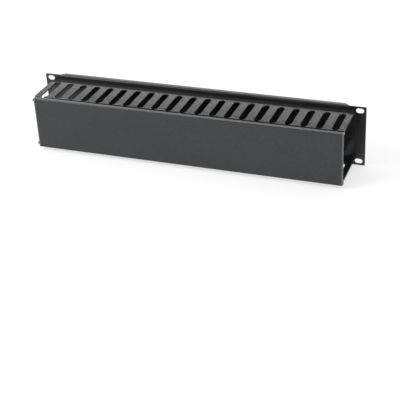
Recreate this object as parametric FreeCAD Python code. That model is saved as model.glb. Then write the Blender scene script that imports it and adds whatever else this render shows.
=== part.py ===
import FreeCAD, Part
import math
import os

# Horizontal cable manager, 2U high, for a 19 inch rack.
# Millimetres. X runs along the rack, Y points to the back of the rack, Z is up.
# The origin is the centre of the four rack slots, on the rear face of the ears,
# the face that bears on the rack rails.

# ---- rack panel: one folded steel sheet ----
PANEL_WIDTH = 482.6
PANEL_HEIGHT = 88.1
SHEET = 1.5
PANEL_CORNER = 1.0
FLANGE_DEPTH = 7.6          # front face of the panel to the rear edge of a flange
FLANGE_END_GAP = 24.2       # end of the panel to the end of a fold
FLANGE_MITRE = 6.4          # each flange end runs in by this towards its rear edge
BEND_INSIDE = 0.8           # inside radius of the folds
RELIEF_WIDTH = 0.15         # laser slit that parts each end of a fold from its ear
RELIEF_DEPTH = 2.8
RACK_SLOT_INSET = 8.75      # end of the panel to a slot's centre, along X
RACK_SLOT_EDGE = 5.95       # edge of the panel to a slot's centre, along Z
RACK_SLOT_LENGTH = 11.0
RACK_SLOT_HEIGHT = 7.0

# ---- finger duct: extruded rigid plastic with punched slots ----
DUCT_END_GAP = 14.8         # end of the panel to the end of the duct
DUCT_EDGE_GAP = 5.95        # edge of the panel to the outer face of a duct wall
DUCT_DEPTH = 72.3           # back of the duct to the front of the finger heads
WALL = 2.0
DUCT_CORNER = 1.5           # outside radius where each wall meets the back
SLOT_COUNT = 21
END_FINGER = 8.4            # width of the short finger at each end of a wall
SLOT_WIDTH = 9.8
SLOT_START = 13.6           # back of the duct to the closed end of a slot
NECK_DEPTH = 7.1            # front of the heads to the point where a slot is at its narrowest
SLOT_CORNER = 3.0           # flat cut at both corners of the closed end
SHOULDER = 3.9              # length over which a slot narrows to the gap between two heads
HEAD_GAP = 2.1              # between neighbouring finger heads
HEAD_DEPTH = 7.6            # front of the heads to the step behind them
STEP_DROP = 1.95            # how far the heads lie inside the walls' outer faces
RIDGE_WIDTH = 2.5           # ridge along the front of the heads that the cover hooks behind
GROOVE_DROP = 0.8           # depth of the snap groove between the step and the ridge
HEAD_THICKNESS = 2.5
LIP_HEIGHT = 4.0            # inward lip at the front of each head, over all
LIP_THICKNESS = 2.7
HEAD_BREAK = 0.7            # flat cut along the front edges of the heads
EDGE_BREAK = 0.4            # the same along the small outer edges of both extrusions

# ---- snap cover: extruded rigid plastic ----
COVER_SHORTER = 1.0         # the cover is shorter than the duct by this
COVER_OFFSET = 1.9          # the cover snaps on anywhere along the duct, and sits to one side
COVER_THICKNESS = 2.3
COVER_EDGE = 1.8            # thickness of the two turned edges
COVER_EDGE_DEPTH = 7.0      # front face to the free edge
COVER_ROUND = 0.9           # outside radius of the long edges
COVER_BEVEL_RUN = 2.2       # dressing of the sawn ends, along the cover
COVER_BEVEL_DEPTH = 1.4     # the same, into the cover's face
SNAP_CLEARANCE = 0.35       # between the cover and the finger heads
HOOK_WIDTH = 1.4            # bead along each free edge, front to back

# ---- fastening: M4 screws through the back of the duct and the panel ----
FASTENER_COUNT = 6
FASTENER_END_GAP = 26.5     # end of the duct to the nearest screw
THROUGH_HOLE = 4.5
SCREW_DIAMETER = 4.0
SCREW_LENGTH = 10.0
HEAD_DIAMETER = 8.0
HEAD_HEIGHT = 2.4
WASHER_DIAMETER = 9.0
WASHER_BORE = 4.3
WASHER_THICKNESS = 0.8
NUT_ACROSS_FLATS = 7.0
NUT_HEIGHT = 3.2
NUT_BORE = 4.1

# ---- planes and lengths that follow from the sizes above ----
rack_slot_x = PANEL_WIDTH / 2 - RACK_SLOT_INSET
rack_slot_z = PANEL_HEIGHT / 2 - RACK_SLOT_EDGE
flange_length = PANEL_WIDTH - 2 * FLANGE_END_GAP
duct_length = PANEL_WIDTH - 2 * DUCT_END_GAP
cover_length = duct_length - COVER_SHORTER
slot_pitch = (duct_length - 2 * END_FINGER - SLOT_WIDTH) / (SLOT_COUNT - 1)
panel_front = -SHEET
wall_outside = PANEL_HEIGHT / 2 - DUCT_EDGE_GAP
head_outside = wall_outside - STEP_DROP
step_start = DUCT_DEPTH - HEAD_DEPTH
slot_end = DUCT_DEPTH - NECK_DEPTH
ridge_start = DUCT_DEPTH - RIDGE_WIDTH
groove_floor = head_outside - GROOVE_DROP
duct_floor = panel_front - WALL
washer_front = duct_floor - WASHER_THICKNESS
fastener_pitch = (duct_length - 2 * FASTENER_END_GAP) / (FASTENER_COUNT - 1)
fastener_places = [(i - (FASTENER_COUNT - 1) / 2) * fastener_pitch for i in range(FASTENER_COUNT)]


def outline_face(corners):
    """Flat face through (point, size, flat) corners, each one rounded, or cut flat, by its size."""
    count = len(corners)
    cuts = []
    for i in range(count):
        corner, size, flat = corners[i]
        if size <= 0:
            cuts.append((corner, None, corner))
            continue
        back = (corners[i - 1][0] - corner).normalize()
        ahead = (corners[(i + 1) % count][0] - corner).normalize()
        half = back.getAngle(ahead) / 2
        reach = size if flat else size / math.tan(half)
        middle = None
        if not flat:
            middle = corner + (back + ahead).normalize() * (size / math.sin(half) - size)
        cuts.append((corner + back * reach, middle, corner + ahead * reach))
    edges = []
    for i in range(count):
        start, middle, end = cuts[i]
        if middle is not None:
            edges.append(Part.Arc(start, middle, end).toShape())
        elif (end - start).Length > 1e-6:
            edges.append(Part.makeLine(start, end))
        following = cuts[(i + 1) % count][0]
        if (following - end).Length > 1e-6:
            edges.append(Part.makeLine(end, following))
    return Part.Face(Part.Wire(edges))


def across(depth, height, size=0.0, flat=False):
    """Corner of a section across the rack; depth counts forward from the panel's front."""
    return FreeCAD.Vector(0, panel_front - depth, height), size, flat


def along(x, depth, size=0.0, flat=False):
    """Corner of an outline seen from above; depth counts as in across."""
    return FreeCAD.Vector(x, panel_front - depth, 0), size, flat


def extruded_along_rack(upper_half, length):
    """Bar of the given length whose section is upper_half and its mirror image."""
    lower_half = []
    for point, size, flat in reversed(upper_half):
        lower_half.append((FreeCAD.Vector(0, point.y, -point.z), size, flat))
    section = outline_face(upper_half + lower_half)
    bar = section.extrude(FreeCAD.Vector(length, 0, 0))
    bar.translate(FreeCAD.Vector(-length / 2, 0, 0))
    return bar


def upright_prism(corners):
    """Prism over an outline seen from above, taller than any piece here."""
    prism = outline_face(corners).extrude(FreeCAD.Vector(0, 0, 2 * PANEL_HEIGHT))
    prism.translate(FreeCAD.Vector(0, 0, -PANEL_HEIGHT))
    return prism


def mirrored_ends(shape):
    """The shape and its mirror image at the other end of the rack unit."""
    return [shape, shape.mirror(FreeCAD.Vector(0, 0, 0), FreeCAD.Vector(1, 0, 0))]


def round_bar(radius, start, end, x=0.0):
    """Round bar parallel to Y from start to end."""
    return Part.makeCylinder(radius, end - start, FreeCAD.Vector(x, start, 0), FreeCAD.Vector(0, 1, 0))


def fastener_holes(start, end):
    """Clearance holes for all screws between two Y planes."""
    return [round_bar(THROUGH_HOLE / 2, start, end, x) for x in fastener_places]


def rack_slot(x, z):
    """Oblong hole for one rack screw, long way along the rack."""
    radius = RACK_SLOT_HEIGHT / 2
    reach = RACK_SLOT_LENGTH / 2 - radius
    left, right = FreeCAD.Vector(x - reach, -2 * SHEET, z), FreeCAD.Vector(x + reach, -2 * SHEET, z)
    up, out = FreeCAD.Vector(0, 0, radius), FreeCAD.Vector(radius, 0, 0)
    outline = Part.Wire([
        Part.makeLine(left - up, right - up),
        Part.Arc(right - up, right + out, right + up).toShape(),
        Part.makeLine(right + up, left + up),
        Part.Arc(left + up, left - out, left - up).toShape(),
    ])
    return Part.Face(outline).extrude(FreeCAD.Vector(0, 3 * SHEET, 0))


def make_rack_panel():
    """Folded panel: flat ears, and a rearward flange along the top and the bottom edge."""
    half_x = PANEL_WIDTH / 2
    half_z = PANEL_HEIGHT / 2
    blank = []
    for x, z in ((-half_x, -half_z), (half_x, -half_z), (half_x, half_z), (-half_x, half_z)):
        blank.append((FreeCAD.Vector(x, panel_front, z), PANEL_CORNER, False))
    plate = outline_face(blank).extrude(FreeCAD.Vector(0, SHEET, 0))

    outer_bend = BEND_INSIDE + SHEET
    folded = extruded_along_rack([
        across(-SHEET, half_z - SHEET, BEND_INSIDE),
        across(-FLANGE_DEPTH, half_z - SHEET),
        across(-FLANGE_DEPTH, half_z),
        across(0, half_z, outer_bend),
    ], flange_length)

    # the plate gives way to the folds, and a slit frees each end of a fold from its ear
    cut_length = flange_length + 2 * RELIEF_WIDTH
    for side in (-1, 1):
        strip = Part.makeBox(cut_length, 3 * SHEET, 2 * RELIEF_DEPTH)
        strip.translate(FreeCAD.Vector(-cut_length / 2, -2 * SHEET, side * half_z - RELIEF_DEPTH))
        plate = plate.cut(strip)
    panel = plate.fuse(folded).removeSplitter()

    half_fold = flange_length / 2
    mitre = upright_prism([
        along(half_fold, -outer_bend),
        along(half_fold + 1, -outer_bend),
        along(half_fold + 1, -FLANGE_DEPTH - 1),
        along(half_fold - FLANGE_MITRE, -FLANGE_DEPTH - 1),
        along(half_fold - FLANGE_MITRE, -FLANGE_DEPTH),
    ])
    slots = []
    for x in (-rack_slot_x, rack_slot_x):
        for z in (-rack_slot_z, rack_slot_z):
            slots.append(rack_slot(x, z))
    return panel.cut(mirrored_ends(mitre) + slots + fastener_holes(-2 * SHEET, SHEET))


def finger_slot(x):
    """Cutter for one slot through both walls, open at the front between two heads."""
    wide = SLOT_WIDTH / 2
    narrow = HEAD_GAP / 2
    return upright_prism([
        along(x - wide, SLOT_START, SLOT_CORNER, True),
        along(x + wide, SLOT_START, SLOT_CORNER, True),
        along(x + wide, slot_end - SHOULDER),
        along(x + narrow, slot_end),
        along(x + narrow, DUCT_DEPTH + 1),
        along(x - narrow, DUCT_DEPTH + 1),
        along(x - narrow, slot_end),
        along(x - wide, slot_end - SHOULDER),
    ])


def make_finger_duct():
    """Channel with a stepped wall on each side, cut into fingers with wide heads."""
    wall_inside = wall_outside - WALL
    head_inside = head_outside - HEAD_THICKNESS
    lip_edge = head_outside - LIP_HEIGHT
    lip_back = DUCT_DEPTH - LIP_THICKNESS
    channel = extruded_along_rack([
        across(0, wall_outside, DUCT_CORNER),
        across(step_start, wall_outside, EDGE_BREAK, True),
        across(step_start, groove_floor),
        across(ridge_start, groove_floor),
        across(ridge_start, head_outside),
        across(DUCT_DEPTH, head_outside, HEAD_BREAK, True),
        across(DUCT_DEPTH, lip_edge, HEAD_BREAK, True),
        across(lip_back, lip_edge),
        across(lip_back, head_inside),
        across(step_start - WALL, head_inside),
        across(step_start - WALL, wall_inside),
        across(WALL, wall_inside),
    ], duct_length)
    cutters = [finger_slot((i - (SLOT_COUNT - 1) / 2) * slot_pitch) for i in range(SLOT_COUNT)]
    return channel.cut(cutters + fastener_holes(duct_floor - 1, panel_front + 1))


def make_cover():
    """Flat cover with turned edges that hook behind the ridges of the finger heads."""
    inside = DUCT_DEPTH + SNAP_CLEARANCE
    face = inside + COVER_THICKNESS
    free_edge = face - COVER_EDGE_DEPTH
    edge_inside = head_outside + SNAP_CLEARANCE
    edge_outside = edge_inside + COVER_EDGE
    bead = groove_floor + SNAP_CLEARANCE
    bar = extruded_along_rack([
        across(inside, edge_inside, EDGE_BREAK, True),
        across(free_edge + HOOK_WIDTH, edge_inside),
        across(free_edge + HOOK_WIDTH, bead, EDGE_BREAK / 2, True),
        across(free_edge, bead, EDGE_BREAK, True),
        across(free_edge, edge_outside, EDGE_BREAK, True),
        across(face, edge_outside, COVER_ROUND),
    ], cover_length)
    end = cover_length / 2
    bevel = upright_prism([
        along(end, face - COVER_BEVEL_DEPTH),
        along(end + 1, face - COVER_BEVEL_DEPTH),
        along(end + 1, face + 1),
        along(end - COVER_BEVEL_RUN, face + 1),
        along(end - COVER_BEVEL_RUN, face),
    ])
    cover = bar.cut(mirrored_ends(bevel))
    cover.translate(FreeCAD.Vector(COVER_OFFSET, 0, 0))
    return cover


def make_screw():
    """Pan head screw; its head stands on the washer."""
    head_front = washer_front - HEAD_HEIGHT
    head = round_bar(HEAD_DIAMETER / 2, head_front, washer_front)
    shank = round_bar(SCREW_DIAMETER / 2, washer_front, washer_front + SCREW_LENGTH)
    return head.fuse(shank)


def make_washer():
    """Plain washer between the screw head and the back of the duct."""
    disc = round_bar(WASHER_DIAMETER / 2, washer_front, duct_floor)
    return disc.cut(round_bar(WASHER_BORE / 2, washer_front - 1, duct_floor + 1))


def make_nut():
    """Hexagon nut on the rear face of the panel."""
    corner_radius = NUT_ACROSS_FLATS / math.sqrt(3)
    hexagon = []
    for i in range(6):
        angle = math.radians(60 * i)
        corner = FreeCAD.Vector(corner_radius * math.cos(angle), 0, corner_radius * math.sin(angle))
        hexagon.append((corner, 0, False))
    body = outline_face(hexagon).extrude(FreeCAD.Vector(0, NUT_HEIGHT, 0))
    return body.cut(round_bar(NUT_BORE / 2, -1, NUT_HEIGHT + 1))


def export(shape, node):
    """Write one piece as its own STEP file."""
    shape.exportStep("parts/" + node + ".step")
    print(node, "volume", round(shape.Volume), "solids", len(shape.Solids))


os.makedirs("parts", exist_ok=True)
export(make_rack_panel(), "rack_panel")
export(make_finger_duct(), "finger_duct")
export(make_cover(), "cover")
for node, piece in (("duct_screw", make_screw()), ("duct_washer", make_washer()), ("duct_nut", make_nut())):
    for number, x in enumerate(fastener_places, 1):
        export(piece.translated(FreeCAD.Vector(x, 0, 0)), node + "_" + str(number))
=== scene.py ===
import math
import bmesh
import bpy
from mathutils import Matrix, Vector


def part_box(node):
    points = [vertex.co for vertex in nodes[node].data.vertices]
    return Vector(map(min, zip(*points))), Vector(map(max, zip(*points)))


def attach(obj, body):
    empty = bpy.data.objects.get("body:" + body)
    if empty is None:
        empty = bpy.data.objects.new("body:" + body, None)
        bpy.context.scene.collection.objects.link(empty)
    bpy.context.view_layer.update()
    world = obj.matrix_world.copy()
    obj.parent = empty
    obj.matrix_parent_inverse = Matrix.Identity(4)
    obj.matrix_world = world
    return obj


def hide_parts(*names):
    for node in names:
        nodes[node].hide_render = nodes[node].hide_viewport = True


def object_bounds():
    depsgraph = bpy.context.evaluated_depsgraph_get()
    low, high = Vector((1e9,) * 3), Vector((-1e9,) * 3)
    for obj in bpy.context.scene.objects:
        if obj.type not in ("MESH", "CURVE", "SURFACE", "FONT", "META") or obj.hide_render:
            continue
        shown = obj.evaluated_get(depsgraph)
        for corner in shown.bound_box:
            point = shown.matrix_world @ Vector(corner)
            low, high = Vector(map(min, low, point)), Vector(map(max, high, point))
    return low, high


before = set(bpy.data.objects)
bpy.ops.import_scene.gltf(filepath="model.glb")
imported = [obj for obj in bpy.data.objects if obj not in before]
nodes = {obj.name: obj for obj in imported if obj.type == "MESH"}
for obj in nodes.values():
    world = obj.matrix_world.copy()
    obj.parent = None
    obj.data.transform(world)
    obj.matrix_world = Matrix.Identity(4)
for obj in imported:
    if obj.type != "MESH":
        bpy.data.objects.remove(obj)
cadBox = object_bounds()
print("frame loaded:", len(nodes), "pieces")


def newMaterial(name):
    material = bpy.data.materials.new(name)
    material.use_nodes = True
    return material, material.node_tree, shaderOf(material)


def shaderOf(material):
    return next(n for n in material.node_tree.nodes if n.type == "BSDF_PRINCIPLED")


def addNode(tree, kind, **settings):
    node = tree.nodes.new(kind)
    for key, value in settings.items():
        setattr(node, key, value)
    return node


def mathNode(tree, operation, first, second):
    # first is a socket; second is a socket or a number
    node = addNode(tree, "ShaderNodeMath", operation=operation)
    tree.links.new(first, node.inputs[0])
    if isinstance(second, (int, float)):
        node.inputs[1].default_value = second
    else:
        tree.links.new(second, node.inputs[1])
    return node.outputs[0]


def ranged(tree, value, fromLow, fromHigh, low, high):
    # carries a value from one range to another, held at both ends
    ramp = addNode(tree, "ShaderNodeMapRange")
    ramp.inputs["From Min"].default_value = fromLow
    ramp.inputs["From Max"].default_value = fromHigh
    ramp.inputs["To Min"].default_value = low
    ramp.inputs["To Max"].default_value = high
    tree.links.new(value, ramp.inputs["Value"])
    return ramp.outputs["Result"]


texture = {"grainDetail": 3.0, "cloudDetail": 2.0, "noiseLow": 0.3, "noiseHigh": 0.7, "evenShine": 0.5}


def noiseAt(tree, place, size, detail, stretch=(1, 1, 1)):
    # noise whose features are about size metres across
    mapping = addNode(tree, "ShaderNodeMapping")
    mapping.inputs["Scale"].default_value = [s / size for s in stretch]
    noise = addNode(tree, "ShaderNodeTexNoise")
    noise.inputs["Scale"].default_value = 1.0
    noise.inputs["Detail"].default_value = detail
    tree.links.new(place.outputs["Object"], mapping.inputs["Vector"])
    tree.links.new(mapping.outputs["Vector"], noise.inputs["Vector"])
    return noise.outputs["Fac"]


def spread(tree, noise, low, high):
    # stretches the middle of a noise over low to high
    return ranged(tree, noise, texture["noiseLow"], texture["noiseHigh"], low, high)


def spreadAround(tree, noise, middle, step):
    return spread(tree, noise, middle - step, middle + step)


def mixColours(tree, share, low, high):
    mix = addNode(tree, "ShaderNodeMix", data_type="RGBA")
    mix.inputs["A"].default_value = (*low, 1)
    mix.inputs["B"].default_value = (*high, 1)
    tree.links.new(share, mix.inputs["Factor"])
    return mix.outputs["Result"]


def grainedSurface(name, look):
    # a fine grain for bump and shine over wide, faint clouds of colour
    material, tree, shader = newMaterial(name)
    place = addNode(tree, "ShaderNodeTexCoord")
    grain = noiseAt(tree, place, look["grain"], texture["grainDetail"])
    cloud = noiseAt(tree, place, look["cloud"], texture["cloudDetail"], look["stretch"])
    colour = mixColours(tree, spread(tree, cloud, 0, 1), look["dark"], look["light"])
    fineRough = spreadAround(tree, grain, 0, look["roughStep"])
    wideRough = spreadAround(tree, cloud, look["roughness"], look["roughStep"])
    bump = addNode(tree, "ShaderNodeBump")
    bump.inputs["Strength"].default_value = look["bump"]
    bump.inputs["Distance"].default_value = look["grain"] * look["relief"]
    tree.links.new(grain, bump.inputs["Height"])
    shine = spreadAround(tree, grain, texture["evenShine"], look["patch"])
    tree.links.new(colour, shader.inputs["Base Color"])
    tree.links.new(mathNode(tree, "ADD", fineRough, wideRough), shader.inputs["Roughness"])
    tree.links.new(bump.outputs["Normal"], shader.inputs["Normal"])
    tree.links.new(shine, shader.inputs["Specular IOR Level"])
    shader.inputs["Metallic"].default_value = look["metal"]
    shader.inputs["IOR"].default_value = look["ior"]
    return material


# grain and cloud are in metres, relief is the bump's depth as a share of the grain
panelPaint = {
    "dark": (0.0075, 0.0078, 0.0082), "light": (0.0115, 0.0118, 0.0122),
    "grain": 0.0008, "relief": 0.10, "cloud": 0.03, "stretch": (1, 1, 1),
    "roughness": 0.34, "roughStep": 0.04, "bump": 0.30, "metal": 0.0, "ior": 1.53, "patch": 0.08,
}
ductPlastic = {
    "dark": (0.013, 0.013, 0.014), "light": (0.023, 0.023, 0.024),
    "grain": 0.0022, "relief": 0.06, "cloud": 0.006, "stretch": (0.6, 1, 1),
    "roughness": 0.15, "roughStep": 0.03, "bump": 0.6, "metal": 0.0, "ior": 1.385, "patch": 0.3,
}
coverPlastic = {
    "dark": (0.0085, 0.0097, 0.0115), "light": (0.0125, 0.0137, 0.0155),
    "grain": 0.0018, "relief": 0.05, "cloud": 0.035, "stretch": (0.4, 1, 1),
    "roughness": 0.22, "roughStep": 0.03, "bump": 0.3, "metal": 0.0, "ior": 1.56, "patch": 0.08,
}
zincPlate = {
    "dark": (0.56, 0.56, 0.54), "light": (0.70, 0.70, 0.68),
    "grain": 0.0004, "relief": 0.2, "cloud": 0.003, "stretch": (1, 1, 1),
    "roughness": 0.33, "roughStep": 0.06, "bump": 0.12, "metal": 1.0, "ior": 1.50, "patch": 0.0,
}
paint = grainedSurface("panelPaint", panelPaint)
ductFinish = grainedSurface("ductPlastic", ductPlastic)
coverFinish = grainedSurface("coverPlastic", coverPlastic)
zinc = grainedSurface("zincPlate", zincPlate)

# painted highlight at the cover's ends: its colour, and the band's width and blend in metres
paintedEndHighlight = {"colour": (0.092, 0.093, 0.097), "width": 0.0018, "fade": 0.0004}


def addPaintedEndHighlights(material, look, box):
    # painted highlight: the cover is paler in a narrow band at both ends, standing in for the light its
    # sawn ends catch
    tree = material.node_tree
    shader = shaderOf(material)
    middle = (box[0][0] + box[1][0]) / 2
    edge = (box[1][0] - box[0][0]) / 2 - look["width"]
    place = addNode(tree, "ShaderNodeTexCoord")
    parts = addNode(tree, "ShaderNodeSeparateXYZ")
    tree.links.new(place.outputs["Object"], parts.inputs["Vector"])
    fromMiddle = mathNode(tree, "SUBTRACT", parts.outputs["X"], middle)
    reach = addNode(tree, "ShaderNodeMath", operation="ABSOLUTE")
    tree.links.new(fromMiddle, reach.inputs[0])
    share = ranged(tree, reach.outputs[0], edge - look["fade"], edge + look["fade"], 0, 1)
    colour = addNode(tree, "ShaderNodeMix", data_type="RGBA")
    colour.inputs["B"].default_value = (*look["colour"], 1)
    tree.links.new(shader.inputs["Base Color"].links[0].from_socket, colour.inputs["A"])
    tree.links.new(share, colour.inputs["Factor"])
    tree.links.new(colour.outputs["Result"], shader.inputs["Base Color"])


addPaintedEndHighlights(coverFinish, paintedEndHighlight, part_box("cover"))
for nodeName, finish in (("rack_panel", paint), ("finger_duct", ductFinish), ("cover", coverFinish)):
    for materialSlot in nodes[nodeName].material_slots:
        materialSlot.material = finish
print("finishes on panel, duct and cover")

turning = {"steps": 48, "smoothAngle": 35, "weld": 1e-7}  # weld is in metres


def turnedMesh(profile):
    # closed solid of revolution about Y through (radius, y) points
    shape = bmesh.new()
    steps = turning["steps"]
    rings = []
    for radius, y in profile:
        ring = []
        if radius == 0:
            ring.append(shape.verts.new((0, y, 0)))
        else:
            for i in range(steps):
                angle = 2 * math.pi * i / steps
                ring.append(shape.verts.new((radius * math.cos(angle), y, radius * math.sin(angle))))
        rings.append(ring)
    for a, b in zip(rings, rings[1:]):
        for i in range(steps):
            j = (i + 1) % steps
            face = [a[i % len(a)], a[j % len(a)], b[j % len(b)], b[i % len(b)]]
            shape.faces.new(list(dict.fromkeys(face)))  # a triangle at the axis
    bmesh.ops.remove_doubles(shape, verts=shape.verts, dist=turning["weld"])
    bmesh.ops.recalc_face_normals(shape, faces=shape.faces)
    return shape


def objectFrom(shape, name):
    mesh = bpy.data.meshes.new(name)
    shape.to_mesh(mesh)
    shape.free()
    piece = bpy.data.objects.new(name, mesh)
    bpy.context.scene.collection.objects.link(piece)
    return piece


def applied(piece):
    # the piece with its modifiers turned into plain mesh
    bpy.context.view_layer.update()
    graph = bpy.context.evaluated_depsgraph_get()
    mesh = bpy.data.meshes.new_from_object(piece.evaluated_get(graph))
    piece.modifiers.clear()
    piece.data = mesh
    return piece


def combined(piece, tool, operation):
    change = piece.modifiers.new("change", "BOOLEAN")
    change.operation = operation
    change.solver = "EXACT"
    change.object = tool
    applied(piece)
    bpy.data.objects.remove(tool)
    return piece


def smoothByAngle(piece):
    # soft shading on turned faces, crisp edges where they meet sharply
    for face in piece.data.polygons:
        face.use_smooth = True
    piece.data.set_sharp_from_angle(angle=math.radians(turning["smoothAngle"]))
    return piece


def rowTree():
    # repeats its input along X and gives every copy one finish
    tree = bpy.data.node_groups.new("fastenerRow", "GeometryNodeTree")
    sockets = tree.interface
    for label, kind in (("Geometry", "Geometry"), ("Count", "Int"), ("Pitch", "Float"),
                        ("First Place", "Vector"), ("Finish", "Material")):
        sockets.new_socket(label, in_out="INPUT", socket_type="NodeSocket" + kind)
    sockets.new_socket("Geometry", in_out="OUTPUT", socket_type="NodeSocketGeometry")
    start = tree.nodes.new("NodeGroupInput")
    end = tree.nodes.new("NodeGroupOutput")
    step = tree.nodes.new("ShaderNodeCombineXYZ")
    line = tree.nodes.new("GeometryNodeMeshLine")
    copies = tree.nodes.new("GeometryNodeInstanceOnPoints")
    solid = tree.nodes.new("GeometryNodeRealizeInstances")
    finish = tree.nodes.new("GeometryNodeSetMaterial")
    link = tree.links.new
    link(start.outputs["Pitch"], step.inputs["X"])
    link(start.outputs["Count"], line.inputs["Count"])
    link(start.outputs["First Place"], line.inputs["Start Location"])
    link(step.outputs["Vector"], line.inputs["Offset"])
    link(line.outputs["Mesh"], copies.inputs["Points"])
    link(start.outputs["Geometry"], copies.inputs["Instance"])
    link(copies.outputs["Instances"], solid.inputs["Geometry"])
    link(solid.outputs["Geometry"], finish.inputs["Geometry"])
    link(start.outputs["Finish"], finish.inputs["Material"])
    link(finish.outputs["Geometry"], end.inputs["Geometry"])
    return tree


fastenerRow = rowTree()


def laidInRow(piece, kind, finish):
    # one detailed fastener, made round X = 0, becomes the whole row and stands for its CAD pieces
    names = sorted(n for n in nodes if n.startswith(kind + "_"))
    middles = [(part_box(n)[0][0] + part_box(n)[1][0]) / 2 for n in names]
    repeat = piece.modifiers.new("row", "NODES")
    repeat.node_group = fastenerRow
    keys = {s.name: s.identifier for s in fastenerRow.interface.items_tree if s.in_out == "INPUT"}
    repeat[keys["Count"]] = len(names)
    repeat[keys["Pitch"]] = (middles[-1] - middles[0]) / (len(names) - 1)
    repeat[keys["First Place"]] = (middles[0], 0.0, 0.0)
    repeat[keys["Finish"]] = finish
    applied(piece)
    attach(piece, "base")
    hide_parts(*names)
    print(kind, "row of", len(names))


# cross is the recess in the head, foot its floor; a ridge wound on the root makes the thread
screw = {
    "headRadius": 0.0040, "headHeight": 0.0024,
    "crownFlat": 0.62, "crownDrop": 0.0009, "crownSteps": 6,
    "crossSpan": 0.0042, "crossWidth": 0.0011, "crossDepth": 0.0015, "crossClear": 0.001,
    "footSpanShare": 0.62, "footWidthShare": 0.8,
    "rootRadius": 0.0017, "crestRadius": 0.0020, "tipChamfer": 0.0004, "tipShare": 0.7,
    "threadPitch": 0.0007, "ridgeShare": 0.46, "sunkShare": 0.93, "fadeTurns": 0.5,
    "stepsPerTurn": 24, "threadFromHead": 0.0012, "threadFromTip": 0.0007,
}


def crownedHead(s, top):
    # flat in the middle, then a quarter of an ellipse down to the rim
    points = [(0, top), (s["headRadius"] * s["crownFlat"], top)]
    for i in range(1, s["crownSteps"] + 1):
        angle = math.pi / 2 * i / s["crownSteps"]
        share = s["crownFlat"] + (1 - s["crownFlat"]) * math.sin(angle)
        points.append((s["headRadius"] * share, top + s["crownDrop"] * (1 - math.cos(angle))))
    return points


def crossArm(s, top, turn):
    # a slot cutter that narrows towards the floor of the recess
    arm = bmesh.new()
    bmesh.ops.create_cube(arm, size=1)
    for v in arm.verts:
        atFoot = v.co.y > 0
        span = s["crossSpan"] * (s["footSpanShare"] if atFoot else 1)
        width = s["crossWidth"] * (s["footWidthShare"] if atFoot else 1)
        y = top + (s["crossDepth"] if atFoot else -s["crossClear"])
        v.co = Vector((v.co.x * span, y, v.co.z * width))
    quarterTurn = Matrix.Rotation(math.radians(turn), 3, "Y")
    bmesh.ops.rotate(arm, cent=(0, 0, 0), matrix=quarterTurn, verts=arm.verts)
    bmesh.ops.recalc_face_normals(arm, faces=arm.faces)
    return objectFrom(arm, "crossArm")


def makeScrew(s, top, tip):
    seat = top + s["headHeight"]
    root = s["rootRadius"]
    shank = [(s["headRadius"], seat), (root, seat), (root, tip - s["tipChamfer"]),
             (root * s["tipShare"], tip), (0, tip)]
    body = objectFrom(turnedMesh(crownedHead(s, top) + shank), "ductScrews")
    for turn in (0, 90):
        body = combined(body, crossArm(s, top, turn), "DIFFERENCE")
    return body


def addThread(body, s, start, end):
    # one triangular ridge wound round the shank, its foot sunk into it
    turns = (end - start) / s["threadPitch"]
    steps = int(turns * s["stepsPerTurn"])
    foot = s["rootRadius"] * s["sunkShare"]
    half = s["threadPitch"] * s["ridgeShare"]
    shape = bmesh.new()
    shape.from_mesh(body.data)
    rows = []
    for i in range(steps + 1):
        share = i / steps
        angle = 2 * math.pi * turns * share
        fade = min(1.0, share * turns / s["fadeTurns"], (1 - share) * turns / s["fadeTurns"])
        crest = s["rootRadius"] + (s["crestRadius"] - s["rootRadius"]) * fade
        y = start + (end - start) * share
        rows.append([shape.verts.new((radius * math.cos(angle), y + shift, radius * math.sin(angle)))
                     for radius, shift in ((foot, -half), (crest, 0), (foot, half))])
    made = []
    for a, b in zip(rows, rows[1:]):
        for k in range(3):
            made.append(shape.faces.new((a[k], a[(k + 1) % 3], b[(k + 1) % 3], b[k])))
    for endRow in (rows[0], rows[-1]):
        made.append(shape.faces.new(endRow))
    bmesh.ops.recalc_face_normals(shape, faces=made)
    shape.to_mesh(body.data)
    shape.free()
    return body


screwLow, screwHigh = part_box("duct_screw_1")
threadStart = screwLow[1] + screw["headHeight"] + screw["threadFromHead"]
screwPiece = makeScrew(screw, screwLow[1], screwHigh[1])
addThread(screwPiece, screw, threadStart, screwHigh[1] - screw["threadFromTip"])
laidInRow(smoothByAngle(screwPiece), "duct_screw", zinc)

washer = {"bore": 0.00215, "edgeRound": 0.00015}


def makeWasher(s, radius, back, front):
    bore, edge = s["bore"], s["edgeRound"]
    profile = [(bore, back), (radius - edge, back), (radius, back + edge), (radius, front - edge),
               (radius - edge, front), (bore + edge, front), (bore, front - edge), (bore, back)]
    return objectFrom(turnedMesh(profile), "ductWashers")


washerLow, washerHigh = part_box("duct_washer_1")
washerPiece = makeWasher(washer, (washerHigh[0] - washerLow[0]) / 2, washerLow[1], washerHigh[1])
laidInRow(smoothByAngle(washerPiece), "duct_washer", zinc)

nut = {"bore": 0.00205, "chamfer": 0.0005, "endShare": 0.97, "boreChamfer": 0.0003}


def hexagonBar(corner, back, front):
    bar = bmesh.new()
    ends = []
    for y in (back, front):
        end = []
        for i in range(6):
            angle = math.radians(60 * i)
            end.append(bar.verts.new((corner * math.cos(angle), y, corner * math.sin(angle))))
        ends.append(end)
    bar.faces.new(ends[0])
    bar.faces.new(ends[1])
    for i in range(6):
        j = (i + 1) % 6
        bar.faces.new((ends[0][i], ends[0][j], ends[1][j], ends[1][i]))
    bmesh.ops.recalc_face_normals(bar, faces=bar.faces)
    return objectFrom(bar, "ductNuts")


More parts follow.
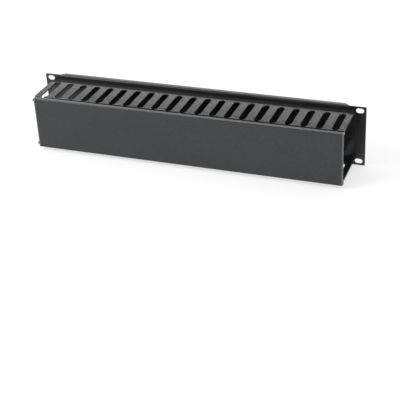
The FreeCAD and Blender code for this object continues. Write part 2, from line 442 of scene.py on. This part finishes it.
def makeNut(s, corner, flats, back, front):
    # a hexagon bar, turned down at both ends, then bored
    end, chamfer = flats * s["endShare"], s["chamfer"]
    outside = [(0, back), (end, back), (corner, back + chamfer), (corner, front - chamfer), (end, front),
               (0, front)]
    bore, cut = s["bore"], s["boreChamfer"]
    inside = [(0, back - cut), (bore + 2 * cut, back - cut), (bore, back + cut), (bore, front - cut),
              (bore + 2 * cut, front + cut), (0, front + cut)]
    piece = hexagonBar(corner, back, front)
    piece = combined(piece, objectFrom(turnedMesh(outside), "turnedEnds"), "INTERSECT")
    return combined(piece, objectFrom(turnedMesh(inside), "boring"), "DIFFERENCE")


nutLow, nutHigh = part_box("duct_nut_1")
nutPiece = makeNut(nut, (nutHigh[0] - nutLow[0]) / 2, (nutHigh[2] - nutLow[2]) / 2, nutLow[1], nutHigh[1])
laidInRow(smoothByAngle(nutPiece), "duct_nut", zinc)

studio = {
    "floorSize": 12.0, "floorGap": 0.0002, "floorColour": (0.90, 0.90, 0.90), "floorRoughness": 0.9,
    "floorSheen": 0.1, "floorGlow": 0.65,
    "worldStrength": 0.75, "skyShine": 0.36,
}
# each light: width and height, power, place; all of them face the object
softboxes = {
    "key": ((1.0, 1.0), 30.0, (-1.25, -1.0, 1.15)),
    "top": ((2.4, 2.4), 12.0, (0.2, 0.3, 2.4)),
    "rear": ((3.4, 0.7), 22.0, (0.0, 2.0, 0.62)),
}


def makeFloor(s):
    # lit and shadowed as paper, and partly white by itself where it is looked at or mirrored
    shape = bmesh.new()
    bmesh.ops.create_grid(shape, x_segments=1, y_segments=1, size=s["floorSize"] / 2)
    floor = objectFrom(shape, "floor")
    floor.data.transform(Matrix.Translation((0, 0, cadBox[0][2] - s["floorGap"])))
    material, tree, shader = newMaterial("floorPaper")
    shader.inputs["Base Color"].default_value = (*s["floorColour"], 1)
    shader.inputs["Roughness"].default_value = s["floorRoughness"]
    shader.inputs["Specular IOR Level"].default_value = s["floorSheen"]
    path = addNode(tree, "ShaderNodeLightPath").outputs
    seen = mathNode(tree, "MAXIMUM", path["Is Camera Ray"], path["Is Glossy Ray"])
    seen = mathNode(tree, "MAXIMUM", seen, path["Is Transmission Ray"])
    glow = addNode(tree, "ShaderNodeEmission")
    glow.inputs["Color"].default_value = (1, 1, 1, 1)
    both = addNode(tree, "ShaderNodeMixShader")
    out = next(n for n in tree.nodes if n.type == "OUTPUT_MATERIAL")
    tree.links.new(mathNode(tree, "MULTIPLY", seen, s["floorGlow"]), both.inputs["Fac"])
    tree.links.new(shader.outputs["BSDF"], both.inputs[1])
    tree.links.new(glow.outputs["Emission"], both.inputs[2])
    tree.links.new(both.outputs["Shader"], out.inputs["Surface"])
    floor.data.materials.append(material)


def makeWorld(s):
    # white where it is looked at, dimmer in what it lights and in reflections
    world = bpy.data.worlds.new("studio")
    bpy.context.scene.world = world
    world.use_nodes = True
    tree = world.node_tree
    tree.nodes.clear()
    path = addNode(tree, "ShaderNodeLightPath").outputs
    seen = mathNode(tree, "MAXIMUM", path["Is Camera Ray"], path["Is Transmission Ray"])
    level = addNode(tree, "ShaderNodeMapRange")
    level.inputs["To Max"].default_value = 1.0
    sky = addNode(tree, "ShaderNodeBackground")
    sky.inputs["Color"].default_value = (1, 1, 1, 1)
    out = addNode(tree, "ShaderNodeOutputWorld")
    unseen = ranged(tree, path["Is Glossy Ray"], 0, 1, s["worldStrength"], s["skyShine"])
    tree.links.new(unseen, level.inputs["To Min"])
    tree.links.new(seen, level.inputs["Value"])
    tree.links.new(level.outputs["Result"], sky.inputs["Strength"])
    tree.links.new(sky.outputs["Background"], out.inputs["Surface"])


def addSoftbox(name, size, power, place):
    light = bpy.data.lights.new(name, "AREA")
    light.shape = "RECTANGLE"
    light.size, light.size_y = size
    light.energy = power
    lamp = bpy.data.objects.new(name, light)
    bpy.context.scene.collection.objects.link(lamp)
    lamp.visible_camera = False
    lamp.location = place
    lamp.rotation_euler = (-Vector(place)).to_track_quat("-Z", "Y").to_euler()


makeFloor(studio)
makeWorld(studio)
for name, (size, power, place) in softboxes.items():
    addSoftbox(name, size, power, place)
print("floor and lights set")

# turn, rise and roll are in degrees, distance and target in metres
shot = {
    "turn": 21.737, "rise": 29.848, "roll": -3.150, "distance": 1.58681,
    "target": (-0.00724, -0.0015, -0.13214),
    "sensor": 36.0, "lens": 95.275, "shiftX": 0.00239, "shiftY": -0.00773, "clipEnd": 50.0,
}


def placeCamera(s):
    turn, rise, roll = (math.radians(s[k]) for k in ("turn", "rise", "roll"))
    back = Vector((math.sin(turn) * math.cos(rise), -math.cos(turn) * math.cos(rise), math.sin(rise)))
    right = (-back).cross(Vector((0, 0, 1))).normalized()
    up = right.cross(-back)
    across = right * math.cos(roll) + up * math.sin(roll)
    upright = -right * math.sin(roll) + up * math.cos(roll)
    data = bpy.data.cameras.new("camera")
    data.sensor_width = s["sensor"]
    data.lens = s["lens"]
    data.shift_x = s["shiftX"]
    data.shift_y = s["shiftY"]
    data.clip_end = s["clipEnd"]
    camera = bpy.data.objects.new("camera", data)
    bpy.context.scene.collection.objects.link(camera)
    turned = Matrix((across, upright, back)).transposed().to_4x4()
    camera.matrix_world = Matrix.Translation(Vector(s["target"]) + back * s["distance"]) @ turned
    bpy.context.scene.camera = camera


placeCamera(shot)
bpy.context.scene.view_settings.view_transform = "Standard"
print("camera set")
